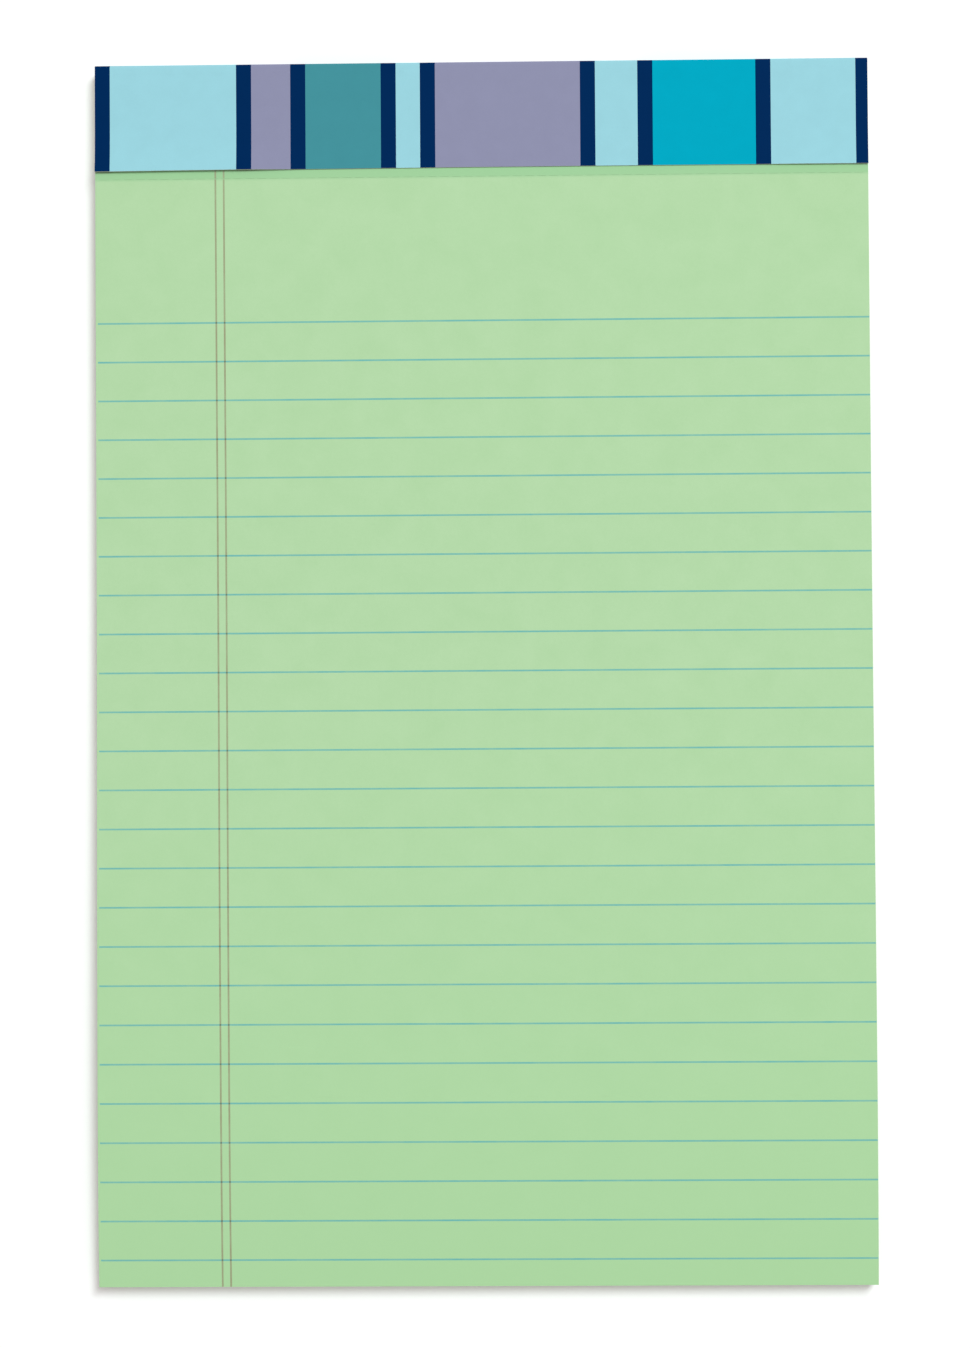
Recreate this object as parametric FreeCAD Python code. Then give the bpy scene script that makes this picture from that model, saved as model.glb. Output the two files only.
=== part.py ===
import FreeCAD, Part

import os
from math import floor, sqrt

from FreeCAD import Vector

# A junior legal pad that lies face up: ruled sheets and a backing board, stitched at the head with wire
# and bound with a folded strip. Sizes are in millimetres.
# X runs across the pad, +Y towards the bound head and +Z up. The origin is under the middle of the pad,
# on the surface that it lies on.

# The trimmed pad
PAD_WIDTH = 127.0
PAD_LENGTH = 200.4              # from the foot to the outside of the folded strip

# The writing sheets
SHEET_COUNT = 50
SHEET_THICKNESS = 0.088
WAVE_HEIGHT = 1.2               # how far the loose sheets rise above their bound thickness
WAVE_START_FROM_FOOT = 130.0    # where they start to rise
WAVE_CREST_FROM_FOOT = 32.0     # where they stand highest, before they curl down to the foot

# The perforation, cut through every sheet just below the strip
PERFORATION_BELOW_STRIP = 1.4
PERFORATION_CUT = 1.5           # length of one cut
PERFORATION_TIE = 0.5           # paper left between two cuts
PERFORATION_WIDTH = 0.15

# The backing board
BOARD_THICKNESS = 0.8

# The binding strip, folded round the head
STRIP_THICKNESS = 0.18
FRONT_FLAP = 17.5               # on the sheets, from the outside of the fold
BACK_FLAP = 17.5                # on the board, from the outside of the fold
STRIP_BEND_RADIUS = 0.45        # inside of each bend
CORNER_SLACK = 0.15             # the sheets' and board's edges are rounder than the bend by this

# The wire stitches
STITCH_COUNT = 2
STITCH_SPACING = 63.5
STITCH_FROM_HEAD = 9.0
WIRE_DIAMETER = 0.55
CROWN_WIDTH = 12.7              # between the middles of the two legs
WIRE_BEND_RADIUS = 0.8          # at the middle of the wire
CLINCH_LENGTH = 4.6             # from the middle of a leg to its clinched end
WIRE_CLEARANCE = 0.05           # around the wire, in the sheets, the board and under the strip

# Heights and lengths that follow
STACK_THICKNESS = SHEET_COUNT * SHEET_THICKNESS
BOARD_BOTTOM = STRIP_THICKNESS
SHEETS_BOTTOM = BOARD_BOTTOM + BOARD_THICKNESS
SHEETS_TOP = SHEETS_BOTTOM + STACK_THICKNESS
FOOT = -PAD_LENGTH / 2
FOLD_OUTSIDE = PAD_LENGTH / 2
HEAD = FOLD_OUTSIDE - STRIP_THICKNESS
FRONT_FLAP_EDGE = FOLD_OUTSIDE - FRONT_FLAP
BACK_FLAP_EDGE = FOLD_OUTSIDE - BACK_FLAP
LEFT = -PAD_WIDTH / 2
EDGE_ROUNDING = STRIP_BEND_RADIUS + CORNER_SLACK
STITCH_Y = HEAD - STITCH_FROM_HEAD
CROWN_Z = SHEETS_TOP - WIRE_CLEARANCE - WIRE_DIAMETER / 2
CLINCH_Z = BOARD_BOTTOM + WIRE_CLEARANCE + WIRE_DIAMETER / 2
THROUGH = 1.0                   # how far a cutting tool runs past the face that it cuts


def side_point(y, z):
    """A point of a side profile, drawn on the pad's left face."""
    return Vector(LEFT, y, z)


def line(start, end):
    return Part.LineSegment(start, end).toShape()


def arc(centre, start, end):
    """The shorter arc from start to end about centre."""
    radius = (start - centre).Length
    towards_middle = (start + end) * 0.5 - centre
    middle = centre + towards_middle * (radius / towards_middle.Length)
    return Part.Arc(start, middle, end).toShape()


def across_the_pad(edges):
    """A side profile, run from the pad's left face to its right one."""
    return Part.Face(Part.Wire(edges)).extrude(Vector(PAD_WIDTH, 0, 0))


def wave_edges():
    """The top sheet from its flat part to the foot: an S of two equal arcs up to the crest, and one down."""
    crest_y = FOOT + WAVE_CREST_FROM_FOOT
    start_y = FOOT + WAVE_START_FROM_FOOT
    rise_length = start_y - crest_y
    rise_radius = (rise_length ** 2 + WAVE_HEIGHT ** 2) / (4 * WAVE_HEIGHT)
    fall_radius = (WAVE_CREST_FROM_FOOT ** 2 + WAVE_HEIGHT ** 2) / (2 * WAVE_HEIGHT)
    crest_z = SHEETS_TOP + WAVE_HEIGHT

    start = side_point(start_y, SHEETS_TOP)
    halfway = side_point((start_y + crest_y) / 2, SHEETS_TOP + WAVE_HEIGHT / 2)
    crest = side_point(crest_y, crest_z)
    foot = side_point(FOOT, SHEETS_TOP)
    return [
        arc(side_point(start_y, SHEETS_TOP + rise_radius), start, halfway),
        arc(side_point(crest_y, crest_z - rise_radius), halfway, crest),
        arc(side_point(crest_y, crest_z - fall_radius), crest, foot),
    ]


def make_stack():
    """The block of sheets: flat and square at the head, waved where they are loose."""
    foot_bottom = side_point(FOOT, SHEETS_BOTTOM)
    head_bottom = side_point(HEAD, SHEETS_BOTTOM)
    head_side = side_point(HEAD, SHEETS_TOP - EDGE_ROUNDING)
    head_top = side_point(HEAD - EDGE_ROUNDING, SHEETS_TOP)
    wave_start = side_point(FOOT + WAVE_START_FROM_FOOT, SHEETS_TOP)
    foot_top = side_point(FOOT, SHEETS_TOP)
    rounding_centre = side_point(HEAD - EDGE_ROUNDING, SHEETS_TOP - EDGE_ROUNDING)
    edges = [
        line(foot_bottom, head_bottom),
        line(head_bottom, head_side),
        arc(rounding_centre, head_side, head_top),
        line(head_top, wave_start),
        *wave_edges(),
        line(foot_top, foot_bottom),
    ]
    return across_the_pad(edges)


def make_perforation():
    """The row of knife cuts, as blades that pass right through the stack."""
    pitch = PERFORATION_CUT + PERFORATION_TIE
    count = floor((PAD_WIDTH - PERFORATION_TIE) / pitch)
    row_length = count * pitch - PERFORATION_TIE
    perforation_y = FRONT_FLAP_EDGE - PERFORATION_BELOW_STRIP
    height = STACK_THICKNESS + WAVE_HEIGHT + 2 * THROUGH
    blades = []
    for index in range(count):
        corner = Vector(
            index * pitch - row_length / 2,
            perforation_y - PERFORATION_WIDTH / 2,
            SHEETS_BOTTOM - THROUGH,
        )
        blades.append(Part.makeBox(PERFORATION_CUT, PERFORATION_WIDTH, height, corner))
    return Part.makeCompound(blades)


def make_board_blank():
    """The trimmed board, rounded at the edge that the strip is folded round."""
    foot_bottom = side_point(FOOT, BOARD_BOTTOM)
    foot_top = side_point(FOOT, SHEETS_BOTTOM)
    head_top = side_point(HEAD, SHEETS_BOTTOM)
    head_side = side_point(HEAD, BOARD_BOTTOM + EDGE_ROUNDING)
    head_bottom = side_point(HEAD - EDGE_ROUNDING, BOARD_BOTTOM)
    rounding_centre = side_point(HEAD - EDGE_ROUNDING, BOARD_BOTTOM + EDGE_ROUNDING)
    edges = [
        line(foot_bottom, foot_top),
        line(foot_top, head_top),
        line(head_top, head_side),
        arc(rounding_centre, head_side, head_bottom),
        line(head_bottom, foot_bottom),
    ]
    return across_the_pad(edges)


def strip_face_edges(offset):
    """One face of the folded strip, from the front flap's edge to the back one's, offset from its inside."""
    top = SHEETS_TOP + offset
    bottom = BOARD_BOTTOM - offset
    head = HEAD + offset
    top_centre = side_point(HEAD - STRIP_BEND_RADIUS, SHEETS_TOP - STRIP_BEND_RADIUS)
    bottom_centre = side_point(HEAD - STRIP_BEND_RADIUS, BOARD_BOTTOM + STRIP_BEND_RADIUS)
    front_edge = side_point(FRONT_FLAP_EDGE, top)
    back_edge = side_point(BACK_FLAP_EDGE, bottom)
    top_bend = [side_point(top_centre.y, top), side_point(head, top_centre.z)]
    bottom_bend = [side_point(head, bottom_centre.z), side_point(bottom_centre.y, bottom)]
    edges = [
        line(front_edge, top_bend[0]),
        arc(top_centre, top_bend[0], top_bend[1]),
        line(top_bend[1], bottom_bend[0]),
        arc(bottom_centre, bottom_bend[0], bottom_bend[1]),
        line(bottom_bend[1], back_edge),
    ]
    return edges, front_edge, back_edge


def make_binding_strip():
    """The strip: front flap, fold round the head and back flap in one thickness."""
    inside, inside_front, inside_back = strip_face_edges(0)
    outside, outside_front, outside_back = strip_face_edges(STRIP_THICKNESS)
    back_end = line(inside_back, outside_back)
    front_end = line(outside_front, inside_front)
    return across_the_pad([*inside, back_end, *reversed(outside), front_end])


def stitch_path(centre_x):
    """The middle of one stitch's wire: clinch, leg, crown, leg and clinch, with a bend at each corner."""
    half_crown = CROWN_WIDTH / 2
    inner = half_crown - WIRE_BEND_RADIUS
    clinch_end = half_crown - CLINCH_LENGTH

    def point(x, z):
        return Vector(centre_x + x, STITCH_Y, z)

    def leg(side):
        """The clinch, the lower bend, the leg and the upper bend of one side, from the end up."""
        low_centre = point(side * inner, CLINCH_Z + WIRE_BEND_RADIUS)
        high_centre = point(side * inner, CROWN_Z - WIRE_BEND_RADIUS)
        clinch = [point(side * clinch_end, CLINCH_Z), point(side * inner, CLINCH_Z)]
        upright = [point(side * half_crown, low_centre.z), point(side * half_crown, high_centre.z)]
        crown_end = point(side * inner, CROWN_Z)
        return [
            line(clinch[0], clinch[1]),
            arc(low_centre, clinch[1], upright[0]),
            line(upright[0], upright[1]),
            arc(high_centre, upright[1], crown_end),
        ]

    crown = line(point(-inner, CROWN_Z), point(inner, CROWN_Z))
    path = Part.Wire([*leg(-1), crown, *reversed(leg(1))])
    return path, point(-clinch_end, CLINCH_Z)


def make_stitch(centre_x):
    """One stitch: round wire along its path."""
    path, wire_end = stitch_path(centre_x)
    section = Part.Wire(Part.makeCircle(WIRE_DIAMETER / 2, wire_end, Vector(1, 0, 0)))
    return path.makePipeShell([section], True, False)


def stitch_centres():
    return [(index - (STITCH_COUNT - 1) / 2) * STITCH_SPACING for index in range(STITCH_COUNT)]


def make_staples():
    return Part.makeCompound([make_stitch(x) for x in stitch_centres()])


def stitch_slab(corners):
    """A cut as wide as the wire with its clearance, from corners given as x and z."""
    half_width = WIRE_DIAMETER / 2 + WIRE_CLEARANCE
    points = [Vector(x, STITCH_Y - half_width, z) for x, z in corners]
    return Part.Face(Part.makePolygon([*points, points[0]])).extrude(Vector(0, 2 * half_width, 0))


def leg_room(centre_x, side):
    """The round hole of one leg, the slot of its clinch and the relief inside its two bends."""
    half_width = WIRE_DIAMETER / 2 + WIRE_CLEARANCE
    leg_x = centre_x + side * CROWN_WIDTH / 2
    outer_x = leg_x + side * half_width
    inner_x = leg_x - side * half_width
    clinch_end_x = leg_x - side * (CLINCH_LENGTH + WIRE_CLEARANCE)
    slot_floor = CROWN_Z - half_width
    slot_roof = CLINCH_Z + half_width
    below = BOARD_BOTTOM - THROUGH

    # A slope at 45 degrees just clears the inside of the bend.
    relief = (WIRE_BEND_RADIUS - half_width) * (2 - sqrt(2))
    relief_x = inner_x - side * relief

    hole = Part.makeCylinder(half_width, CROWN_Z - CLINCH_Z, Vector(leg_x, STITCH_Y, CLINCH_Z))
    clinch_slot = stitch_slab([
        (outer_x, below),
        (clinch_end_x, below),
        (clinch_end_x, slot_roof),
        (outer_x, slot_roof),
    ])
    low_relief = stitch_slab([
        (leg_x, slot_roof),
        (relief_x, slot_roof),
        (inner_x, slot_roof + relief),
        (leg_x, slot_roof + relief),
    ])
    high_relief = stitch_slab([
        (leg_x, slot_floor),
        (relief_x, slot_floor),
        (inner_x, slot_floor - relief),
        (leg_x, slot_floor - relief),
    ])
    return [hole, clinch_slot, low_relief, high_relief]


def stitch_room(centre_x):
    """What one stitch presses out of the pad: open above its crown and below its clinches."""
    half_width = WIRE_DIAMETER / 2 + WIRE_CLEARANCE
    half_span = CROWN_WIDTH / 2 + half_width
    slot_floor = CROWN_Z - half_width
    above = SHEETS_TOP + THROUGH
    left, right = centre_x - half_span, centre_x + half_span
    crown_slot = stitch_slab([(left, slot_floor), (right, slot_floor), (right, above), (left, above)])
    return crown_slot.fuse([*leg_room(centre_x, -1), *leg_room(centre_x, 1)]).removeSplitter()


def main():
    stitch_rooms = Part.makeCompound([stitch_room(x) for x in stitch_centres()])
    nodes = {
        "writing_sheets": make_stack().cut(make_perforation()).cut(stitch_rooms),
        "backing_board": make_board_blank().cut(stitch_rooms),
        "binding_strip": make_binding_strip(),
        "staples": make_staples(),
    }
    os.makedirs("parts", exist_ok=True)
    for name, shape in nodes.items():
        shape.exportStep(f"parts/{name}.step")
        box = shape.BoundBox
        print(
            f"{name}: {len(shape.Solids)} solid(s), {shape.Volume:.1f} mm3,",
            f"{box.XLength:.2f} x {box.YLength:.2f} x {box.ZLength:.2f} mm, valid {shape.isValid()}",
        )


main()
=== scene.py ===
# %% [markdown]
# A junior legal pad lies face up on a white table, seen from above. Fifty green ruled sheets lie on a
# chipboard back. Wire stitches hold them at the head, under a folded strip of striped paper.
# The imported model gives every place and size. The sheets and the strip are made again here with the
# detail that a solid leaves out: separate leaves, cuts, print and a strip that lifts at its corners.

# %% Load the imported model
import math

import bpy
from mathutils import Matrix, Vector


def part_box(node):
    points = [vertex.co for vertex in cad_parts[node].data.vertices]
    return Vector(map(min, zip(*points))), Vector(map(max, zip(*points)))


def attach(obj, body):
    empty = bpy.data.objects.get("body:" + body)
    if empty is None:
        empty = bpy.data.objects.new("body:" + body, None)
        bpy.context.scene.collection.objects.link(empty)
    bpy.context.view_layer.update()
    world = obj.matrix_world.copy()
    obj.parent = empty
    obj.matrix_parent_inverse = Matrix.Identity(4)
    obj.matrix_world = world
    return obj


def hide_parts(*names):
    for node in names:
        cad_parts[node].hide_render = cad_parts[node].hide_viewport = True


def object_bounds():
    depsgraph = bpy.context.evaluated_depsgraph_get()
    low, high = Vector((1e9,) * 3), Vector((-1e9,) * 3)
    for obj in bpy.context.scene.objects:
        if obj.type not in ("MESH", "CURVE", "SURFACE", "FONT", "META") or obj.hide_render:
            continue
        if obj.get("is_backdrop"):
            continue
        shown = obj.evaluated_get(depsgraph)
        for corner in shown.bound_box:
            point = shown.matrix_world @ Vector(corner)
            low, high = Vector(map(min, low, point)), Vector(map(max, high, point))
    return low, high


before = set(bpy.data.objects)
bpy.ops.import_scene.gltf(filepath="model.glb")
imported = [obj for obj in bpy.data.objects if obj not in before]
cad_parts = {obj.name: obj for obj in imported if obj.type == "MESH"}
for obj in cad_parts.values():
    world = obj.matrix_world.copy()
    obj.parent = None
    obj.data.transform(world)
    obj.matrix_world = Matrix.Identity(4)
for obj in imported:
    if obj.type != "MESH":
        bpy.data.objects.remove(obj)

packed_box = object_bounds()
print("packed nodes:", sorted(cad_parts))

# %% [markdown]
# Blender works in metres. The pad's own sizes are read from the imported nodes, so the pieces made here
# stay in line with it. X runs across the pad, +Y towards the bound head and +Z up.

# %% Sizes of the pad
MM = 0.001

sheets_low, sheets_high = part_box("writing_sheets")
board_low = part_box("backing_board")[0]
strip_low, strip_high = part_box("binding_strip")
wire_low, wire_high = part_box("staples")

PAD_WIDTH = sheets_high.x - sheets_low.x
FOOT = sheets_low.y
HEAD = sheets_high.y
STRIP_THICKNESS = board_low.z - strip_low.z
SHEETS_BOTTOM = sheets_low.z
SHEETS_TOP = strip_high.z - STRIP_THICKNESS     # where the strip holds the sheets flat
WAVE_HEIGHT = sheets_high.z - SHEETS_TOP        # how far the loose sheets rise above that
WAVE_START = FOOT + 130.0 * MM
WAVE_CREST = FOOT + 32.0 * MM
STRIP_EDGE = strip_low.y
PERFORATION_Y = STRIP_EDGE - 1.4 * MM
print(f"bound sheets {(SHEETS_TOP - SHEETS_BOTTOM) / MM:.2f} mm thick, wave {WAVE_HEIGHT / MM:.2f} mm")

# %% [markdown]
# The camera hung over the pad, a little off its middle and not quite level, so the foot looks wider
# than the head. The three small turns and the distance came from the corners and from the ruled lines,
# which are evenly spaced on the paper. The lens follows from how many pixels one millimetre takes.

# %% Camera
PHOTO_HEIGHT = 1348                 # pixels
PIXELS_PER_MM = 6.112               # on the top sheet
CAMERA_DISTANCE = 550.0 * MM        # from the top sheet
CAMERA_TURNS = (("X", -1.455), ("Y", -1.282), ("Z", 0.378))
CAMERA_OFFSET = Vector((-0.159, 0.486, 0)) * MM

pad_to_camera = Matrix.Identity(3)
for axis, degrees in CAMERA_TURNS:
    pad_to_camera = pad_to_camera @ Matrix.Rotation(math.radians(degrees), 3, axis)
camera_to_pad = pad_to_camera.transposed()

camera_place = camera_to_pad @ (Vector((0, 0, CAMERA_DISTANCE)) - CAMERA_OFFSET)
camera_place.z += SHEETS_TOP
camera = bpy.data.objects.new("camera", bpy.data.cameras.new("camera"))
camera.data.sensor_fit = "VERTICAL"
camera.data.sensor_height = 36.0
camera.data.lens = PIXELS_PER_MM * (CAMERA_DISTANCE / MM) / PHOTO_HEIGHT * camera.data.sensor_height
camera.data.clip_start = 0.01
camera.matrix_world = Matrix.Translation(camera_place) @ camera_to_pad.to_4x4()
bpy.context.scene.collection.objects.link(camera)
bpy.context.scene.camera = camera
print(f"camera {camera_place.z / MM:.0f} mm up, lens {camera.data.lens:.1f} mm")

# %% [markdown]
# Materials and geometry are both built from nodes here. Three helpers keep that readable: one adds a
# node and fills its inputs, one does a sum, and one opens a node group with named inputs and outputs.


# %% Helpers for nodes
def add_node(tree, kind, inputs=None, **settings):
    """A new node with its settings. An input takes a value, or another node's output to link to it."""
    node = tree.nodes.new(kind)
    for name, value in settings.items():
        setattr(node, name, value)
    for socket, value in (inputs or {}).items():
        if isinstance(value, bpy.types.NodeSocket):
            tree.links.new(value, node.inputs[socket])
        else:
            node.inputs[socket].default_value = value
    return node


def calculate(tree, operation, *values, **settings):
    """The result of a Math node."""
    node = add_node(tree, "ShaderNodeMath", dict(enumerate(values)), operation=operation, **settings)
    return node.outputs[0]


def new_group(kind, name, inputs, outputs):
    """An empty node group, with its input node and its output node."""
    tree = bpy.data.node_groups.new(name, kind)
    for label, socket_type in inputs:
        tree.interface.new_socket(label, in_out="INPUT", socket_type="NodeSocket" + socket_type)
    for label, socket_type in outputs:
        tree.interface.new_socket(label, in_out="OUTPUT", socket_type="NodeSocket" + socket_type)
    return tree, add_node(tree, "NodeGroupInput").outputs, add_node(tree, "NodeGroupOutput")


print("node helpers: add_node, calculate and new_group")


# %% [markdown]
# The table is plain white paper. It is lit like the pad, so it keeps the pad's soft shadow at the left
# and at the foot. What the camera sees of it gets a little light of its own, which takes everything
# outside the shadow to clean white and puts no extra light on the pad. That glow grows away from the
# pad, where the lamp reaches less, so no horizon shows from low down.


# %% Table
FLOOR_COLOUR = 0.92
FLOOR_GLOW = 0.18                   # around the pad
GLOW_GROWS = (0.15, 0.6)            # metres from the pad's middle between which it grows to 1
FLOOR_HALF = 2.0                    # metres
FLOOR_DROP = 0.02 * MM              # under the strip, so that their faces don't coincide


def seen_directly(tree):
    """1 for rays from the camera, a reflection or through glass, and 0 for the light that they carry."""
    path = add_node(tree, "ShaderNodeLightPath").outputs
    mirrored = calculate(tree, "MAXIMUM", path["Is Camera Ray"], path["Is Glossy Ray"])
    return calculate(tree, "MAXIMUM", mirrored, path["Is Transmission Ray"])


def make_floor():
    material = bpy.data.materials.new("white table")
    material.use_nodes = True
    tree = material.node_tree
    tree.nodes.clear()
    plain = (FLOOR_COLOUR, FLOOR_COLOUR, FLOOR_COLOUR, 1)
    diffuse = add_node(tree, "ShaderNodeBsdfDiffuse", {"Color": plain})
    place = add_node(tree, "ShaderNodeTexCoord").outputs["Object"]
    distance = add_node(tree, "ShaderNodeVectorMath", {0: place}, operation="LENGTH").outputs["Value"]
    grown = {"Value": distance, "From Min": GLOW_GROWS[0], "From Max": GLOW_GROWS[1], "To Min": FLOOR_GLOW}
    glowing = add_node(tree, "ShaderNodeMapRange", grown).outputs[0]
    strength = calculate(tree, "MULTIPLY", seen_directly(tree), glowing)
    glow = add_node(tree, "ShaderNodeEmission", {"Strength": strength})
    both = add_node(tree, "ShaderNodeAddShader", {0: diffuse.outputs[0], 1: glow.outputs[0]})
    add_node(tree, "ShaderNodeOutputMaterial", {"Surface": both.outputs[0]})

    half, height = FLOOR_HALF, -FLOOR_DROP
    corners = [(-half, -half, height), (half, -half, height), (half, half, height), (-half, half, height)]
    mesh = bpy.data.meshes.new("floor")
    mesh.from_pydata(corners, [], [(0, 1, 2, 3)])
    mesh.materials.append(material)
    floor = bpy.data.objects.new("floor", mesh)
    bpy.context.scene.collection.objects.link(floor)
    floor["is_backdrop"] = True


make_floor()
print(f"table {2 * FLOOR_HALF:.0f} m wide")

# %% [markdown]
# One soft lamp hangs high over the head, to the right. Its height and size set how far the pad's edge
# throws its shadow and how softly it ends. A pale even sky fills the rest. It is a trace warmer than the
# lamp, which tints the shadow as in the photograph. Together they give an even white light, at which a
# colour looks as it is written.

# %% Lamp and sky
LAMP_PLACE = Vector((0.60, 0.74, 2.4))
LAMP_SIZE = (0.60, 0.92)
LAMP_POWER = 44.6
SKY_LIGHT = 0.36
SKY_COLOUR = (1.13, 0.98, 0.98, 1)
LAMP_COLOUR = (0.927, 1.011, 1.011)
WHITE = (1, 1, 1, 1)

lamp_data = bpy.data.lights.new("soft lamp", "AREA")
lamp_data.shape = "RECTANGLE"
lamp_data.size, lamp_data.size_y = LAMP_SIZE
lamp_data.energy = LAMP_POWER
lamp_data.color = LAMP_COLOUR
lamp = bpy.data.objects.new("soft lamp", lamp_data)
lamp_turn = (-LAMP_PLACE).to_track_quat("-Z", "Y")
lamp.matrix_world = Matrix.Translation(LAMP_PLACE) @ lamp_turn.to_matrix().to_4x4()
bpy.context.scene.collection.objects.link(lamp)

world = bpy.data.worlds.new("pale sky")
world.use_nodes = True
sky = world.node_tree
sky.nodes.clear()
seen = seen_directly(sky)
sky_strength = calculate(sky, "MULTIPLY_ADD", seen, 1 - SKY_LIGHT, SKY_LIGHT)
sky_mix = add_node(sky, "ShaderNodeMix", {0: seen, 6: SKY_COLOUR, 7: WHITE}, data_type="RGBA")
sky_light = {"Color": sky_mix.outputs[2], "Strength": sky_strength}
sky_background = add_node(sky, "ShaderNodeBackground", sky_light)
add_node(sky, "ShaderNodeOutputWorld", {"Surface": sky_background.outputs[0]})
bpy.context.scene.world = world
bpy.context.scene.view_settings.view_transform = "Standard"
print(f"lamp {LAMP_PLACE.length:.2f} m away, {LAMP_SIZE[0]} by {LAMP_SIZE[1]} m")

# %% [markdown]
# All four finishes come from pulp: the sheets, the strip, its white core and the board. Pulp never lies
# quite evenly, so held to the light it is cloudy, and close up it shows fibres. One shader group makes
# both as masks, and each material gives it its own sizes. A mask keeps mostly between 0.3 and 0.7, so
# the materials spread it out from there.


# %% Paper grain
def make_paper_grain():
    inputs = [("Position", "Vector"), ("Cloud size", "Float"), ("Fibre size", "Float")]
    outputs = [("Clouds", "Float"), ("Fibres", "Float")]
    tree, given, result = new_group("ShaderNodeTree", "paper grain", inputs, outputs)
    masks = (("Clouds", "Cloud size", 2.0, 0.3), ("Fibres", "Fibre size", 3.0, 1.6))
    for label, size, detail, distortion in masks:
        noise = add_node(tree, "ShaderNodeTexNoise", {
            "Vector": given["Position"],
            "Scale": calculate(tree, "DIVIDE", 1.0, given[size]),
            "Detail": detail,
            "Distortion": distortion,
        })
        tree.links.new(noise.outputs[0], result.inputs[label])
    return tree


paper_grain = make_paper_grain()


def linear(red, green, blue):
    """A colour given as a screen shows it, 0 to 255, turned into the light that a shader works with."""
    shares = [part / 255 for part in (red, green, blue)]
    return (*[s / 12.92 if s <= 0.04045 else ((s + 0.055) / 1.055) ** 2.4 for s in shares], 1)


def new_material(name, roughness, specular):
    """A material with one Principled BSDF, and the place on the object that its patterns read."""
    material = bpy.data.materials.new(name)
    material.use_nodes = True
    tree = material.node_tree
    shader = tree.nodes["Principled BSDF"]
    shader.inputs["Roughness"].default_value = roughness
    shader.inputs["Specular IOR Level"].default_value = specular
    place = add_node(tree, "ShaderNodeTexCoord").outputs["Object"]
    return material, tree, shader, place


def add_grain(tree, place, cloud_size, fibre_size):
    """The paper grain group's masks, for one material."""
    sizes = {"Position": place, "Cloud size": cloud_size, "Fibre size": fibre_size}
    return add_node(tree, "ShaderNodeGroup", sizes, node_tree=paper_grain).outputs


def add_bump(tree, shader, height, depth, strength):
    """Roughens the surface by a height from 0 to 1, where 1 stands for the depth in metres."""
    values = {"Height": height, "Distance": depth, "Strength": strength}
    tree.links.new(add_node(tree, "ShaderNodeBump", values).outputs[0], shader.inputs["Normal"])


def mix_colour(tree, factor, first, second, blend="MIX"):
    """Two colours mixed; the factor's share is the second one's."""
    values = {0: factor, 6: first, 7: second}
    node = add_node(tree, "ShaderNodeMix", values, data_type="RGBA", blend_type=blend)
    return node.outputs[2]


def spread(tree, value, low, high, start=0.0, end=1.0):
    """A value between low and high, moved to the range from start to end and held there."""
    numbers = {"Value": value, "From Min": low, "From Max": high, "To Min": start, "To Max": end}
    return add_node(tree, "ShaderNodeMapRange", numbers).outputs[0]


print("paper grain group:", [s.name for s in paper_grain.interface.items_tree])

# %% [markdown]
# The writing paper is dyed in the pulp, so its green goes right through, and it is matt. Its tone moves
# a little with the clouds and fibres. Painted shade makes it slowly darker towards the foot, and a band
# of painted shade lies on the top face above the row of cuts, just below the strip. Each leaf carries its
# own tone too, which shows as layers at the sides.

# %% Green paper
PAPER_LIGHT = linear(185, 222, 174)
PAPER_DARK = linear(179, 218, 168)
# painted shade: the colour that the paper fades to towards the foot
PAPER_FOOT_SHADE = linear(174, 220, 164)
# painted shade: the darker band on the top face above the row of cuts
PAPER_SHADE_ABOVE_CUTS = linear(163, 211, 159)


def make_green_paper():
    material, tree, shader, place = new_material("green paper", 0.9, 0.2)
    grain = add_grain(tree, place, 5.5 * MM, 0.45 * MM)
    tone = mix_colour(tree, 0.45, grain["Clouds"], grain["Fibres"])
    tone = spread(tree, tone, 0.32, 0.68)
    colour = mix_colour(tree, tone, PAPER_LIGHT, PAPER_DARK)
    at = add_node(tree, "ShaderNodeSeparateXYZ", {0: place}).outputs
    # painted shade: the paper grows darker towards the foot
    foot_shade_share = spread(tree, at["Y"], 0.0, FOOT, 0.0, 0.8)
    colour = mix_colour(tree, foot_shade_share, colour, PAPER_FOOT_SHADE)
    # painted shade: a darker band on the top face above the row of cuts, just below the strip
    above_cuts = spread(tree, at["Y"], PERFORATION_Y - 0.4 * MM, PERFORATION_Y + 0.15 * MM)
    on_face = spread(tree, at["Z"], SHEETS_TOP - 0.04 * MM, SHEETS_TOP - 0.01 * MM)
    painted_shade_above_cuts = calculate(tree, "MULTIPLY", above_cuts, on_face)
    colour = mix_colour(tree, painted_shade_above_cuts, colour, PAPER_SHADE_ABOVE_CUTS)
    leaf = add_node(tree, "ShaderNodeAttribute", attribute_name="leaf_tone").outputs["Fac"]
    brightness = spread(tree, leaf, 0.0, 1.0, 0.8, 1.0)
    colour = mix_colour(tree, 1.0, colour, brightness, "MULTIPLY")
    tree.links.new(colour, shader.inputs["Base Color"])
    add_bump(tree, shader, tone, 0.012 * MM, 0.5)
    return material


green_paper = make_green_paper()
print("made", green_paper.name)

# %% [markdown]
# The loose sheets don't lie quite flat: they rise gently from the middle of the pad to a low crest near
# the foot, and curl down again. Two parabolas make the rise and a third one the fall. The group below
# gives that height for any point, so the leaves and the ink printed on them follow the same curve.

# %% Wave of the loose sheets
INK_ROOM = 0.03 * MM                # left free above the crest for the ink
WAVE_INPUTS = [("Height", "Float"), ("Start", "Float"), ("Crest", "Float"), ("Foot", "Float")]
WAVE_VALUES = {"Height": WAVE_HEIGHT - INK_ROOM, "Start": WAVE_START, "Crest": WAVE_CREST, "Foot": FOOT}


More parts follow.
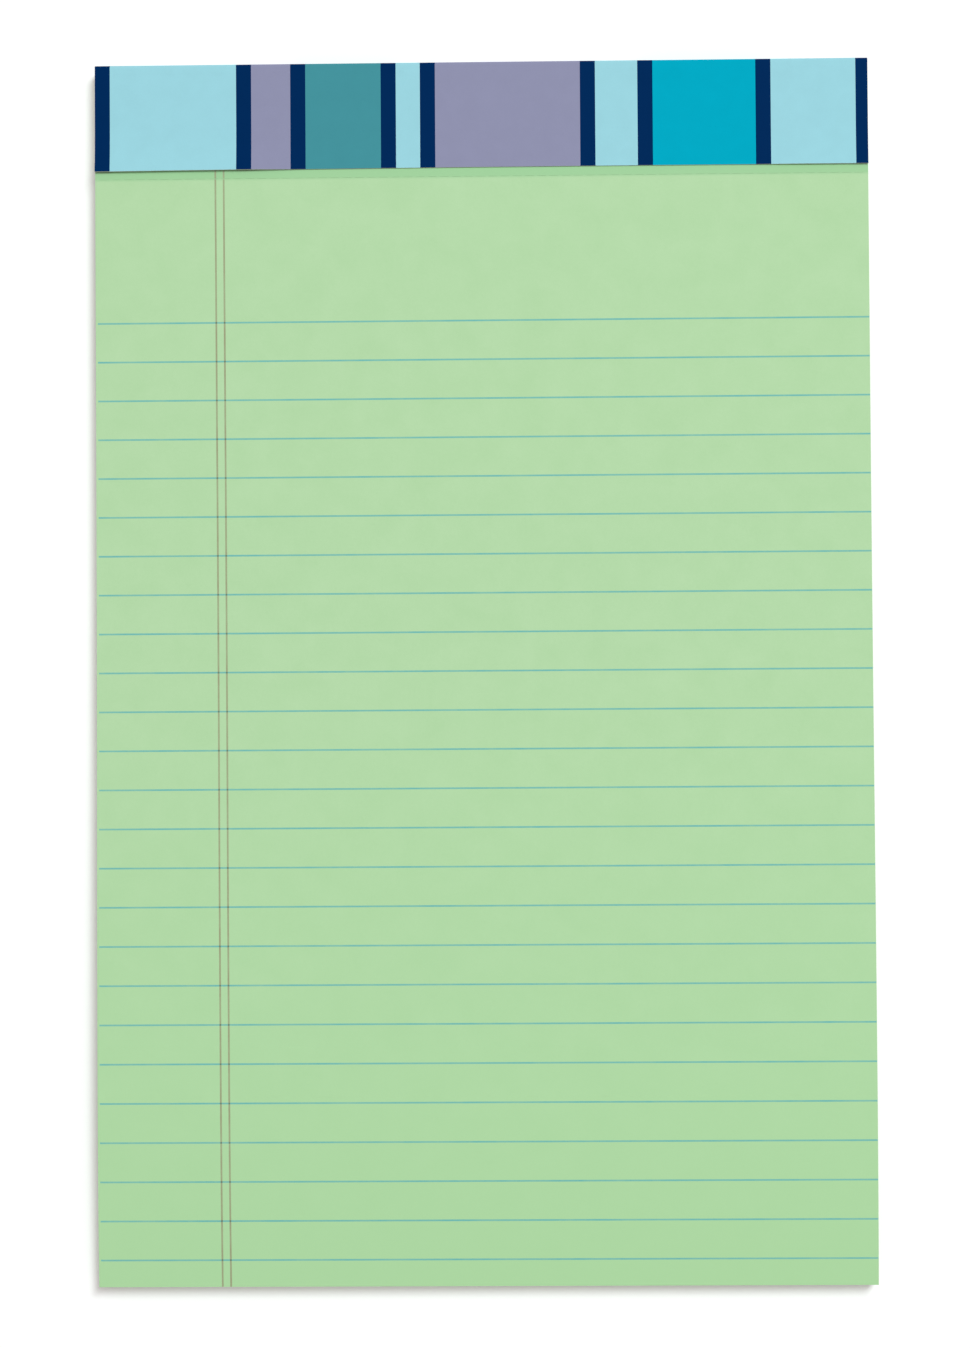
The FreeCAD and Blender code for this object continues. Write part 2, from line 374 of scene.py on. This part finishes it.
def make_sheet_wave():
    tree, given, result = new_group("GeometryNodeTree", "sheet wave", WAVE_INPUTS, [("Rise", "Float")])
    position = add_node(tree, "GeometryNodeInputPosition").outputs[0]
    along = add_node(tree, "ShaderNodeSeparateXYZ", {0: position}).outputs["Y"]

    def share(start, end):
        """How far a point is on its way from start to end, from 0 to 1."""
        done = calculate(tree, "SUBTRACT", start, along)
        whole = calculate(tree, "SUBTRACT", start, end)
        return calculate(tree, "DIVIDE", done, whole, use_clamp=True)

    rising = share(given["Start"], given["Crest"])
    falling = share(given["Crest"], given["Foot"])
    second_half = calculate(tree, "MAXIMUM", calculate(tree, "SUBTRACT", rising, 0.5), 0.0)
    rise = calculate(tree, "MULTIPLY", calculate(tree, "POWER", rising, 2.0), 2.0)
    ease = calculate(tree, "MULTIPLY", calculate(tree, "POWER", second_half, 2.0), 4.0)
    fall = calculate(tree, "POWER", falling, 2.0)
    shape = calculate(tree, "SUBTRACT", calculate(tree, "SUBTRACT", rise, ease), fall)
    tree.links.new(calculate(tree, "MULTIPLY", shape, given["Height"]), result.inputs["Rise"])
    return tree


sheet_wave = make_sheet_wave()
print("sheet wave:", len(sheet_wave.nodes), "nodes")


def add_wave(tree, given):
    """The wave's height at each point of a tree that has the wave's inputs among its own."""
    values = {label: given[label] for label, _ in WAVE_INPUTS}
    return add_node(tree, "GeometryNodeGroup", values, node_tree=sheet_wave).outputs["Rise"]


def add_vector(tree, x=0.0, y=0.0, z=0.0):
    return add_node(tree, "ShaderNodeCombineXYZ", {0: x, 1: y, 2: z}).outputs[0]


def run_tree(name, tree, values):
    """Runs a tree on a new object and keeps what it makes as that object's own plain mesh."""
    piece = bpy.data.objects.new(name, bpy.data.meshes.new(name + " start"))
    bpy.context.scene.collection.objects.link(piece)
    modifier = piece.modifiers.new("make", "NODES")
    modifier.node_group = tree
    for item in tree.interface.items_tree:
        if item.item_type == "SOCKET" and item.in_out == "INPUT":
            modifier[item.identifier] = values[item.name]
    depsgraph = bpy.context.evaluated_depsgraph_get()
    mesh = bpy.data.meshes.new_from_object(piece.evaluated_get(depsgraph), depsgraph=depsgraph)
    piece.modifiers.remove(modifier)
    piece.data = mesh
    mesh.name = name
    triangles = sum(len(face.vertices) - 2 for face in mesh.polygons)
    print(f"{name}: {triangles} triangles, {len(mesh.vertices)} points")
    return piece


# %% [markdown]
# A leaf is a thin sheet with a row of knife cuts just below the strip, along which it tears off, and cuts
# for the wire. Its flat part is a rectangle filled around those cuts, and its loose part a plain grid
# that can bend. Extruding both gives it thickness. Drawn as curves, each cut takes only four points.


# %% One leaf
def row_of(tree, count, pitch, instance):
    """Copies of an instance in a row along X, centred on the pad's middle."""
    steps = calculate(tree, "SUBTRACT", count, 1.0)
    start = calculate(tree, "MULTIPLY", calculate(tree, "MULTIPLY", steps, pitch), -0.5)
    points = add_node(tree, "GeometryNodeMeshLine", {
        "Count": count,
        "Start Location": add_vector(tree, x=start),
        "Offset": add_vector(tree, x=pitch),
    })
    placed = {"Points": points.outputs[0], "Instance": instance}
    return add_node(tree, "GeometryNodeInstanceOnPoints", placed).outputs[0]


def rectangle(tree, width, height):
    sizes = {"Width": width, "Height": height}
    return add_node(tree, "GeometryNodeCurvePrimitiveQuadrilateral", sizes).outputs[0]


def moved(tree, geometry, **place):
    values = {"Geometry": geometry, "Translation": add_vector(tree, **place)}
    return add_node(tree, "GeometryNodeTransform", values).outputs[0]


def joined(tree, *geometries):
    """Several geometries as one, with any copies made real."""
    join = add_node(tree, "GeometryNodeJoinGeometry")
    for geometry in geometries:
        tree.links.new(geometry, join.inputs[0])
    return add_node(tree, "GeometryNodeRealizeInstances", {"Geometry": join.outputs[0]}).outputs[0]


def middle_and_length(tree, low, high):
    middle = calculate(tree, "MULTIPLY", calculate(tree, "ADD", low, high), 0.5)
    return middle, calculate(tree, "SUBTRACT", high, low)


def add_leaf(tree, given):
    """One flat leaf from the foot to the head, lying on z = 0."""
    pitch = calculate(tree, "ADD", given["Cut"], given["Tie"])
    cut = rectangle(tree, given["Cut"], given["Cut width"])
    cuts = moved(tree, row_of(tree, given["Cuts"], pitch, cut), y=given["Cuts at"])

    wire_cut = rectangle(tree, given["Wire cut"], given["Wire width"])
    stitch = row_of(tree, given["Cuts per stitch"], given["Leg spacing"], wire_cut)
    stitches = row_of(tree, 2, given["Stitch spacing"], stitch)
    wire_cuts = moved(tree, stitches, y=given["Stitches at"])

    flat_middle, flat_length = middle_and_length(tree, given["Start"], given["Head"])
    outline = moved(tree, rectangle(tree, given["Width"], flat_length), y=flat_middle)
    curves = joined(tree, outline, cuts, wire_cuts)
    flat_part = add_node(tree, "GeometryNodeFillCurve", {0: curves}, mode="TRIANGLES").outputs[0]

    loose_middle, loose_length = middle_and_length(tree, given["Foot"], given["Start"])
    grid = {"Size X": given["Width"], "Size Y": loose_length, "Vertices X": 2, "Vertices Y": given["Bends"]}
    loose_grid = add_node(tree, "GeometryNodeMeshGrid", grid).outputs[0]
    loose_part = moved(tree, loose_grid, y=loose_middle)

    def welded(*parts):
        values = {"Geometry": joined(tree, *parts), "Distance": 0.001 * MM}
        return add_node(tree, "GeometryNodeMergeByDistance", values).outputs[0]

    face = welded(flat_part, loose_part)
    raised = {"Mesh": face, "Offset Scale": given["Thickness"], "Individual": False}
    upper = add_node(tree, "GeometryNodeExtrudeMesh", raised).outputs[0]
    lower = add_node(tree, "GeometryNodeFlipFaces", {0: face}).outputs[0]
    return welded(upper, lower)


print(f"a leaf is {(HEAD - FOOT) / MM:.2f} mm long")


# %% [markdown]
# The stack is that leaf, copied once for each sheet. Air lies between loose leaves, more of it here and
# less there, so each copy takes its own share of the wave: random gaps, added up from the board to the
# top. A guillotine never cuts quite square either, so the leaves shift by a few hundredths of a
# millimetre. At the head the upper leaves step back, to fit the inside of the strip's fold.


# %% Stack of leaves
STACK_INPUTS = [
    *WAVE_INPUTS,
    ("Head", "Float"), ("Width", "Float"), ("Thickness", "Float"), ("Bends", "Int"),
    ("Cuts", "Int"), ("Cut", "Float"), ("Tie", "Float"), ("Cut width", "Float"), ("Cuts at", "Float"),
    ("Cuts per stitch", "Int"), ("Leg spacing", "Float"), ("Stitch spacing", "Float"),
    ("Wire cut", "Float"), ("Wire width", "Float"), ("Stitches at", "Float"),
    ("Leaves", "Int"), ("First leaf at", "Float"), ("Leaf pitch", "Float"), ("Largest rise", "Float"),
    ("Shift", "Float"), ("Tone spread", "Float"), ("Bound top", "Float"), ("Head rounding", "Float"),
    ("Seed", "Int"), ("Material", "Material"),
]


def random_value(tree, low, high, seed, offset):
    numbers = {2: low, 3: high, "Seed": calculate(tree, "ADD", seed, offset)}
    return add_node(tree, "FunctionNodeRandomValue", numbers).outputs[1]


def head_limit(tree, given, height):
    """How far towards the head a point may reach at a height, inside the rounding of the stack."""
    radius = given["Head rounding"]
    rounding_starts = calculate(tree, "SUBTRACT", given["Bound top"], radius)
    above = calculate(tree, "MAXIMUM", calculate(tree, "SUBTRACT", height, rounding_starts), 0.0)
    squares = calculate(tree, "MULTIPLY", radius, radius)
    inside = calculate(tree, "SUBTRACT", squares, calculate(tree, "POWER", above, 2.0))
    reach = calculate(tree, "SQRT", inside)
    return calculate(tree, "ADD", calculate(tree, "SUBTRACT", given["Head"], radius), reach)


def make_leaf_stack():
    tree, given, result = new_group("GeometryNodeTree", "leaf stack", STACK_INPUTS, [("Stack", "Geometry")])
    points = add_node(tree, "GeometryNodeMeshLine", {
        "Count": given["Leaves"],
        "Start Location": add_vector(tree, z=given["First leaf at"]),
        "Offset": add_vector(tree, z=given["Leaf pitch"]),
    }).outputs[0]

    gap = calculate(tree, "POWER", random_value(tree, 0.1, 1.0, given["Seed"], 1), 4.0)
    added = add_node(tree, "GeometryNodeAccumulateField", {0: gap}).outputs
    rise = calculate(tree, "DIVIDE", added["Leading"], added["Total"])
    shift = calculate(tree, "MULTIPLY", given["Shift"], -1.0)
    index = add_node(tree, "GeometryNodeInputIndex").outputs[0]
    slow_change = {"W": index, "Scale": 0.31, "Detail": 2.0}
    layers = add_node(tree, "ShaderNodeTexNoise", slow_change, noise_dimensions="1D")
    own_tone = random_value(tree, -0.3, 0.3, given["Seed"], 2)
    darker = calculate(tree, "ADD", layers.outputs[0], own_tone, use_clamp=True)
    per_leaf = {
        "Rise": calculate(tree, "MULTIPLY", rise, given["Largest rise"]),
        "Tone": calculate(tree, "SUBTRACT", 1.0, calculate(tree, "MULTIPLY", darker, given["Tone spread"])),
        "Shift X": random_value(tree, shift, given["Shift"], given["Seed"], 3),
        "Shift Y": random_value(tree, shift, given["Shift"], given["Seed"], 4),
    }
    capture = add_node(tree, "GeometryNodeCaptureAttribute", {0: points})
    for label, value in per_leaf.items():
        capture.capture_items.new("FLOAT", label)
        tree.links.new(value, capture.inputs[label])

    placed = {"Points": capture.outputs[0], "Instance": add_leaf(tree, given)}
    copies = add_node(tree, "GeometryNodeInstanceOnPoints", placed).outputs[0]
    leaves = add_node(tree, "GeometryNodeRealizeInstances", {0: copies}).outputs[0]

    position = add_node(tree, "GeometryNodeInputPosition").outputs[0]
    at = add_node(tree, "ShaderNodeSeparateXYZ", {0: position}).outputs
    along = calculate(tree, "ADD", at["Y"], capture.outputs["Shift Y"])
    wave = calculate(tree, "MULTIPLY", add_wave(tree, given), capture.outputs["Rise"])
    new_place = add_vector(
        tree,
        x=calculate(tree, "ADD", at["X"], capture.outputs["Shift X"]),
        y=calculate(tree, "MINIMUM", along, head_limit(tree, given, at["Z"])),
        z=calculate(tree, "ADD", at["Z"], wave),
    )
    bent = add_node(tree, "GeometryNodeSetPosition", {0: leaves, "Position": new_place}).outputs[0]
    toned = add_node(tree, "GeometryNodeStoreNamedAttribute", {
        0: bent,
        "Name": "leaf_tone",
        "Value": capture.outputs["Tone"],
    }, data_type="FLOAT", domain="POINT").outputs[0]
    made = add_node(tree, "GeometryNodeSetMaterial", {0: toned, "Material": given["Material"]}).outputs[0]
    tree.links.new(made, result.inputs["Stack"])
    return tree


leaf_stack = make_leaf_stack()
print("leaf stack:", len(leaf_stack.nodes), "nodes")

# %% [markdown]
# The tree runs twice. The top sheet is a piece of its own, with more bends, because its face is what
# people see and write on, and the wire's crowns lie in two long cuts in it. The forty-nine sheets
# below it are pierced only by the wire's legs.

# %% Top sheet and lower sheets
SHEET_COUNT = 50
LEAF_PITCH = (SHEETS_TOP - SHEETS_BOTTOM) / SHEET_COUNT
LEAF_THICKNESS = 0.080 * MM
TRIM_ERROR = 0.05 * MM
TOP_TRIM_ERROR = 0.01 * MM          # the top sheet fills the width that the photograph gives
WIRE_WIDTH = wire_high.y - wire_low.y + 0.1 * MM     # with a little room on both sides
CROWN_WIDTH = 12.7 * MM
STITCH_SPACING = 63.5 * MM

leaf_values = {
    **WAVE_VALUES,
    "Head": HEAD - TRIM_ERROR, "Width": PAD_WIDTH - 2 * TRIM_ERROR, "Thickness": LEAF_THICKNESS,
    "Cuts": 63, "Cut": 1.5 * MM, "Tie": 0.5 * MM, "Cut width": 0.025 * MM, "Cuts at": PERFORATION_Y,
    "Leg spacing": CROWN_WIDTH, "Stitch spacing": STITCH_SPACING, "Wire width": WIRE_WIDTH,
    "Stitches at": (wire_low.y + wire_high.y) / 2,
    "Leaf pitch": LEAF_PITCH, "Bound top": SHEETS_TOP, "Head rounding": 0.6 * MM,
    "Seed": 7, "Material": green_paper,
}
top_sheet = run_tree("top_sheet", leaf_stack, {
    **leaf_values,
    "Width": PAD_WIDTH - 2 * TOP_TRIM_ERROR,
    "Bends": 81, "Leaves": 1, "Largest rise": 1.0,
    "First leaf at": SHEETS_TOP - LEAF_THICKNESS,
    "Shift": 0.0, "Tone spread": 0.0, "Cuts per stitch": 1, "Wire cut": CROWN_WIDTH + WIRE_WIDTH,
})
lower_sheets = run_tree("lower_sheets", leaf_stack, {
    **leaf_values,
    "Foot": FOOT + TRIM_ERROR, "Head": HEAD - 2 * TRIM_ERROR,
    "Bends": 41, "Leaves": SHEET_COUNT - 1, "Largest rise": 0.985,
    "First leaf at": SHEETS_BOTTOM + LEAF_PITCH - LEAF_THICKNESS,
    "Shift": TRIM_ERROR, "Tone spread": 1.0, "Cuts per stitch": 2, "Wire cut": WIRE_WIDTH,
})

# %% [markdown]
# The ruling is water-based ink from a thin disc for each line, a little uneven where the paper drank
# more of it. It could be a pattern in the paper's colour, but lines a quarter of a millimetre wide would
# blur in a baked texture. So each line is its own thin film, which follows the wave.

# %% Inks
RULE_INK = linear(109, 186, 182)
MARGIN_INK = linear(157, 158, 125)
CROSSING_INK = linear(104, 132, 112)
RULE_COUNT = 25
RULE_PITCH = 6.39 * MM
FIRST_RULE = 57.55 * MM
RULE_WIDTH = 0.27 * MM
MARGIN_WIDTH = 0.28 * MM
FILM = 0.01 * MM                    # thickness of the ink, of which a third is in the paper


def make_ink(name, colour, crossing=None):
    material, tree, shader, place = new_material(name, 0.8, 0.2)
    grain = add_grain(tree, place, 4.0 * MM, 0.3 * MM)
    thin = mix_colour(tree, 0.4, grain["Clouds"], grain["Fibres"])
    faded = spread(tree, thin, 0.35, 0.7, 0.0, 0.35)
    colour = mix_colour(tree, faded, colour, PAPER_DARK)
    if crossing:
        along = add_node(tree, "ShaderNodeSeparateXYZ", {0: place}).outputs["Y"]
        rules = calculate(tree, "DIVIDE", calculate(tree, "SUBTRACT", along, FIRST_RULE), RULE_PITCH)
        nearest = calculate(tree, "ROUND", rules)
        off_rule = calculate(tree, "ABSOLUTE", calculate(tree, "SUBTRACT", rules, nearest))
        on_rule = calculate(tree, "LESS_THAN", off_rule, RULE_WIDTH / RULE_PITCH / 2)
        below_first = calculate(tree, "LESS_THAN", along, FIRST_RULE + RULE_WIDTH)
        colour = mix_colour(tree, calculate(tree, "MULTIPLY", on_rule, below_first), colour, crossing)
    tree.links.new(colour, shader.inputs["Base Color"])
    add_bump(tree, shader, grain["Fibres"], 0.012 * MM, 0.5)
    return material


rule_ink = make_ink("rule ink", RULE_INK)
margin_ink = make_ink("margin ink", MARGIN_INK, CROSSING_INK)
print("made", rule_ink.name, "and", margin_ink.name)


# %% [markdown]
# Both kinds of line come from one tree: a row of thin boxes, copied at an even pitch, slid aside where
# the print is askew and lifted onto the wave. The rules run across the sheet. The two margin lines run
# down it from under the strip, a little askew as in the photograph, and are broken at the row of cuts,
# where the knife went through the ink as well.


# %% Printed lines
def make_ink_lines():
    inputs = [
        *WAVE_INPUTS, ("Lines", "Int"), ("First line", "Vector"), ("Step", "Vector"), ("Size", "Vector"),
        ("Bends", "Int"), ("Skew", "Float"), ("Material", "Material"),
    ]
    tree, given, result = new_group("GeometryNodeTree", "ink lines", inputs, [("Lines", "Geometry")])
    box = {"Size": given["Size"], "Vertices X": 2, "Vertices Y": given["Bends"], "Vertices Z": 2}
    line = add_node(tree, "GeometryNodeMeshCube", box).outputs[0]
    row = {"Count": given["Lines"], "Start Location": given["First line"], "Offset": given["Step"]}
    points = add_node(tree, "GeometryNodeMeshLine", row).outputs[0]
    copies = add_node(tree, "GeometryNodeInstanceOnPoints", {"Points": points, "Instance": line}).outputs[0]
    lines = add_node(tree, "GeometryNodeRealizeInstances", {0: copies}).outputs[0]
    position = add_node(tree, "GeometryNodeInputPosition").outputs[0]
    along = add_node(tree, "ShaderNodeSeparateXYZ", {0: position}).outputs["Y"]
    askew = calculate(tree, "MULTIPLY", along, given["Skew"])
    offset = add_vector(tree, x=askew, z=add_wave(tree, given))
    bent = add_node(tree, "GeometryNodeSetPosition", {0: lines, "Offset": offset}).outputs[0]
    made = add_node(tree, "GeometryNodeSetMaterial", {0: bent, "Material": given["Material"]}).outputs[0]
    tree.links.new(made, result.inputs["Lines"])
    return tree


ink_lines = make_ink_lines()
INK_Z = SHEETS_TOP + FILM / 6
RULE_LEFT = -PAD_WIDTH / 2 + 0.35 * MM
RULE_RIGHT = PAD_WIDTH / 2 - 0.06 * MM
MARGIN_X = -43.50 * MM              # the left margin line, halfway along the pad
MARGIN_SKEW = -0.0022               # the margin lines run a little to the right on their way down
MARGIN_SPACING = 1.37 * MM
MARGIN_RAISE = 0.002 * MM           # the margin ink lies over the rules
INK_TO_CUTS = 0.075 * MM            # between the ink and the middle of the cuts
INK_TO_EDGE = 0.02 * MM             # between the ink and the foot or the strip

rule_lines = run_tree("rule_lines", ink_lines, {
    **WAVE_VALUES,
    "Lines": RULE_COUNT, "First line": ((RULE_LEFT + RULE_RIGHT) / 2, FIRST_RULE, INK_Z),
    "Step": (0, -RULE_PITCH, 0), "Size": (RULE_RIGHT - RULE_LEFT, RULE_WIDTH, FILM),
    "Bends": 2, "Skew": 0.0, "Material": rule_ink,
})


def margin_part(name, low, high, bends):
    """Both margin lines between two places along the sheet."""
    return run_tree(name, ink_lines, {
        **WAVE_VALUES,
        "Lines": 2, "First line": (MARGIN_X, (low + high) / 2, INK_Z + MARGIN_RAISE),
        "Step": (MARGIN_SPACING, 0, 0), "Size": (MARGIN_WIDTH, high - low, FILM),
        "Bends": bends, "Skew": MARGIN_SKEW, "Material": margin_ink,
    })


margin_lines = margin_part("margin_lines", FOOT + INK_TO_EDGE, PERFORATION_Y - INK_TO_CUTS, bends=113)
margin_ends = margin_part("margin_line_ends", PERFORATION_Y + INK_TO_CUTS, STRIP_EDGE - INK_TO_EDGE, bends=2)

# %% [markdown]
# The strip is smooth coated paper, printed before it is folded, so its stripes run on over the head and
# across the back. Their edges are given in millimetres from the left, as in the photograph, and a
# colour ramp with hard steps paints them by the place across the pad. Where it is cut, it is white.

# %% Striped paper
NAVY = linear(0, 42, 90)
LIGHT_BLUE = linear(157, 215, 226)
MAUVE = linear(145, 147, 176)
TEAL = linear(69, 148, 158)
CYAN = linear(0, 171, 198)
STRIPES = [
    (2.19, NAVY), (23.12, LIGHT_BLUE), (25.66, NAVY), (31.98, MAUVE), (34.56, NAVY), (46.68, TEAL),
    (49.24, NAVY), (53.47, LIGHT_BLUE), (55.90, NAVY), (79.53, MAUVE), (81.92, NAVY), (88.92, LIGHT_BLUE),
    (91.48, NAVY), (108.62, CYAN), (111.02, NAVY), (124.78, LIGHT_BLUE), (127.0, NAVY),
]


def make_striped_paper():
    material, tree, shader, place = new_material("striped paper", 0.55, 0.01)
    across = add_node(tree, "ShaderNodeSeparateXYZ", {0: place}).outputs["X"]
    share = spread(tree, across, -PAD_WIDTH / 2, PAD_WIDTH / 2)
    ramp_node = add_node(tree, "ShaderNodeValToRGB", {0: share})
    ramp = ramp_node.color_ramp
    ramp.interpolation = "CONSTANT"
    while len(ramp.elements) < len(STRIPES):
        ramp.elements.new(1.0)
    start = 0.0
    for step, (end, colour) in zip(ramp.elements, STRIPES):
        step.position = start * MM / PAD_WIDTH
        step.color = colour
        start = end
    grain = add_grain(tree, place, 3.0 * MM, 0.25 * MM)
    tone = mix_colour(tree, 0.5, grain["Clouds"], grain["Fibres"])
    brightness = spread(tree, tone, 0.3, 0.7, 0.965, 1.02)
    colour = mix_colour(tree, 1.0, ramp_node.outputs[0], brightness, "MULTIPLY")
    tree.links.new(colour, shader.inputs["Base Color"])
    tree.links.new(spread(tree, grain["Fibres"], 0.3, 0.7, 0.5, 0.62), shader.inputs["Roughness"])
    add_bump(tree, shader, grain["Fibres"], 0.004 * MM, 0.4)
    return material


def make_paper_core():
    material, tree, shader, place = new_material("white paper core", 0.9, 0.2)
    grain = add_grain(tree, place, 1.5 * MM, 0.08 * MM)
    tone = spread(tree, grain["Fibres"], 0.3, 0.7)
    colour = mix_colour(tree, tone, linear(236, 234, 226), linear(214, 211, 201))
    tree.links.new(colour, shader.inputs["Base Color"])
    add_bump(tree, shader, grain["Fibres"], 0.02 * MM, 0.6)
    return material


striped_paper = make_striped_paper()
paper_core = make_paper_core()
print(len(STRIPES), "stripes")

# %% [markdown]
# The strip is folded round the head in two bends. Its inside is laid out as rows of points from the
# front edge round to the back one, and Solidify gives it its thickness outwards. A strip like this
# springs up a little where no stitch holds it, so the front edge stands off the sheets, most of all at
# the left corner, with a thin dark line under it. It wasn't cut quite straight either.

# %% Folded strip
BEND_RADIUS = 0.3 * MM              # inside
BEND_STEPS = 10
FLAP_STEPS = 16
STRIP_COLUMNS = 96
LIFT_LENGTH = 7.0 * MM              # how far back from the front edge the lift starts
MIDDLE_LIFT = 0.1 * MM
LEFT_LIFT = (0.52 * MM, -28.0 * MM, -40.0 * MM)    # height, where it starts and where it is full
RIGHT_LIFT = (0.26 * MM, 43.0 * MM, 53.0 * MM)
EDGE_STRAY = (0.08 * MM, 0.075 * MM, -0.155 * MM)  # in the middle, then its slope and its curve across
SHARP_ANGLE = math.radians(40)


def edge_stray(x):
    """How far the cut front edge strays from a straight line, towards the head, at a place across."""
    across = 2 * x / PAD_WIDTH
    middle, slope, curve = EDGE_STRAY
    return middle + slope * across + curve * across ** 2


def smooth_share(value, start, end):
    share = min(max((value - start) / (end - start), 0.0), 1.0)
    return share * share * (3 - 2 * share)


def front_lift(x):
    """How far the strip's front edge stands off the sheets at a place across the pad."""
    ends = sum(full * smooth_share(x, start, end) for full, start, end in (LEFT_LIFT, RIGHT_LIFT))
    return MIDDLE_LIFT + ends


def bend(centre_y, centre_z, first_angle):
    """Points of a quarter circle, turning from the first angle towards the back of the pad."""
    angles = [math.radians(first_angle - 90 * step / BEND_STEPS) for step in range(BEND_STEPS + 1)]
    return [(centre_y + BEND_RADIUS * math.cos(a), centre_z + BEND_RADIUS * math.sin(a)) for a in angles]


def strip_profile():
    """The inside of the strip as (y, z), from the front edge over the head to the back edge."""
    bend_y = HEAD - BEND_RADIUS
    flap = bend_y - STRIP_EDGE
    front = [(STRIP_EDGE + flap * step / FLAP_STEPS, SHEETS_TOP) for step in range(FLAP_STEPS)]
    back = [(bend_y - flap * step / FLAP_STEPS, board_low.z) for step in range(1, FLAP_STEPS + 1)]
    top_bend = bend(bend_y, SHEETS_TOP - BEND_RADIUS, 90)
    bottom_bend = bend(bend_y, board_low.z + BEND_RADIUS, 0)
    return front + top_bend + bottom_bend + back


def make_strip():
    profile = strip_profile()
    points = []
    for column in range(STRIP_COLUMNS + 1):
        x = -PAD_WIDTH / 2 + PAD_WIDTH * column / STRIP_COLUMNS
        for y, z in profile:
            if z == SHEETS_TOP:
                free = max(STRIP_EDGE + LIFT_LENGTH - y, 0.0) / LIFT_LENGTH
                points.append((x, y + free * edge_stray(x), z + front_lift(x) * free ** 2))
            else:
                points.append((x, y, z))
    rows = len(profile)
    faces = []
    for column in range(STRIP_COLUMNS):
        for row in range(rows - 1):
            corner = column * rows + row
            faces.append((corner, corner + rows, corner + rows + 1, corner + 1))
    mesh = bpy.data.meshes.new("header_strip inside")
    mesh.from_pydata(points, [], faces)
    mesh.materials.append(striped_paper)
    mesh.materials.append(paper_core)
    strip = bpy.data.objects.new("header_strip", mesh)
    bpy.context.scene.collection.objects.link(strip)

    solidify = strip.modifiers.new("thickness", "SOLIDIFY")
    solidify.thickness = STRIP_THICKNESS
    solidify.offset = 1.0
    solidify.use_even_offset = True
    solidify.material_offset_rim = 1
    depsgraph = bpy.context.evaluated_depsgraph_get()
    solid = bpy.data.meshes.new_from_object(strip.evaluated_get(depsgraph), depsgraph=depsgraph)
    strip.modifiers.remove(solidify)
    strip.data = solid
    solid.name = "header_strip"
    solid.shade_smooth()
    solid.set_sharp_from_angle(angle=SHARP_ANGLE)
    print("header_strip:", len(solid.polygons), "faces")
    return strip


header_strip = make_strip()

# %% [markdown]
# The board is grey-brown chipboard, pressed from waste paper, so pale and dark flecks lie in it. At its
# cut sides it shows thin layers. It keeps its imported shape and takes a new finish.


# %% Chipboard
def make_chipboard():
    material, tree, shader, place = new_material("flecked chipboard", 0.92, 0.2)
    flat = add_node(tree, "ShaderNodeMapping", {"Vector": place, "Scale": (1.0, 1.0, 6.0)}).outputs[0]
    grain = add_grain(tree, flat, 6.0 * MM, 0.5 * MM)
    tone = spread(tree, mix_colour(tree, 0.5, grain["Clouds"], grain["Fibres"]), 0.32, 0.68)
    colour = mix_colour(tree, tone, linear(168, 153, 134), linear(142, 127, 110))
    flecks = add_grain(tree, flat, 1.3 * MM, 0.7 * MM)
    dark = spread(tree, flecks["Fibres"], 0.66, 0.72, 0.0, 0.6)
    colour = mix_colour(tree, dark, colour, linear(92, 80, 70))
    pale = spread(tree, flecks["Clouds"], 0.68, 0.76, 0.0, 0.6)
    colour = mix_colour(tree, pale, colour, linear(205, 196, 180))
    tree.links.new(colour, shader.inputs["Base Color"])
    add_bump(tree, shader, tone, 0.03 * MM, 0.7)
    return material


def give_finish(node, material):
    """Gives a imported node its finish, without a change to its mesh."""
    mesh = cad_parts[node].data
    mesh.materials.clear()
    mesh.materials.append(material)
    print(node, "is", material.name)


give_finish("backing_board", make_chipboard())

# %% [markdown]
# The stitches are galvanized steel wire off a reel, which leaves fine lines along it. They are hidden
# under the strip, and are finished all the same.


# %% Stitching wire
def make_wire():
    material, tree, shader, place = new_material("galvanized wire", 0.35, 0.5)
    shader.inputs["Metallic"].default_value = 1.0
    drawn = add_node(tree, "ShaderNodeMapping", {"Vector": place, "Scale": (0.08, 1.0, 1.0)}).outputs[0]
    noise = {"Vector": drawn, "Scale": 1 / (0.06 * MM), "Detail": 2.0}
    lines = add_node(tree, "ShaderNodeTexNoise", noise).outputs[0]
    colour = mix_colour(tree, spread(tree, lines, 0.3, 0.7), linear(205, 206, 208), linear(172, 174, 178))
    tree.links.new(colour, shader.inputs["Base Color"])
    tree.links.new(spread(tree, lines, 0.3, 0.7, 0.28, 0.46), shader.inputs["Roughness"])
    add_bump(tree, shader, lines, 0.004 * MM, 0.4)
    return material


give_finish("staples", make_wire())

# %% [markdown]
# The pad has no moving parts, so every piece rides on its one body. The leaves and the strip stand for
# the plain solids that they replace, and those solids are hidden.

# %% Put the pieces on the pad
for piece, slot in (
    (top_sheet, "green_paper"),
    (lower_sheets, "green_paper"),
    (rule_lines, "green_paper"),
    (margin_lines, "green_paper"),
    (margin_ends, "green_paper"),
    (header_strip, "striped_strip"),
):
    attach(piece, "root")
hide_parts("writing_sheets")
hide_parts("writing_sheets")
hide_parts("binding_strip")

# %% [markdown]
# The finished pad should fill the same box as the imported one. Both boxes are printed in millimetres.

# %% Print the sizes of both boxes
dressed_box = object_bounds()
boxes = {
    "packed": [list(corner) for corner in packed_box],
    "dressed": [list(corner) for corner in dressed_box],
}
for name, (low, high) in boxes.items():
    print(name, [round((b - a) / MM, 2) for a, b in zip(low, high)], "mm")
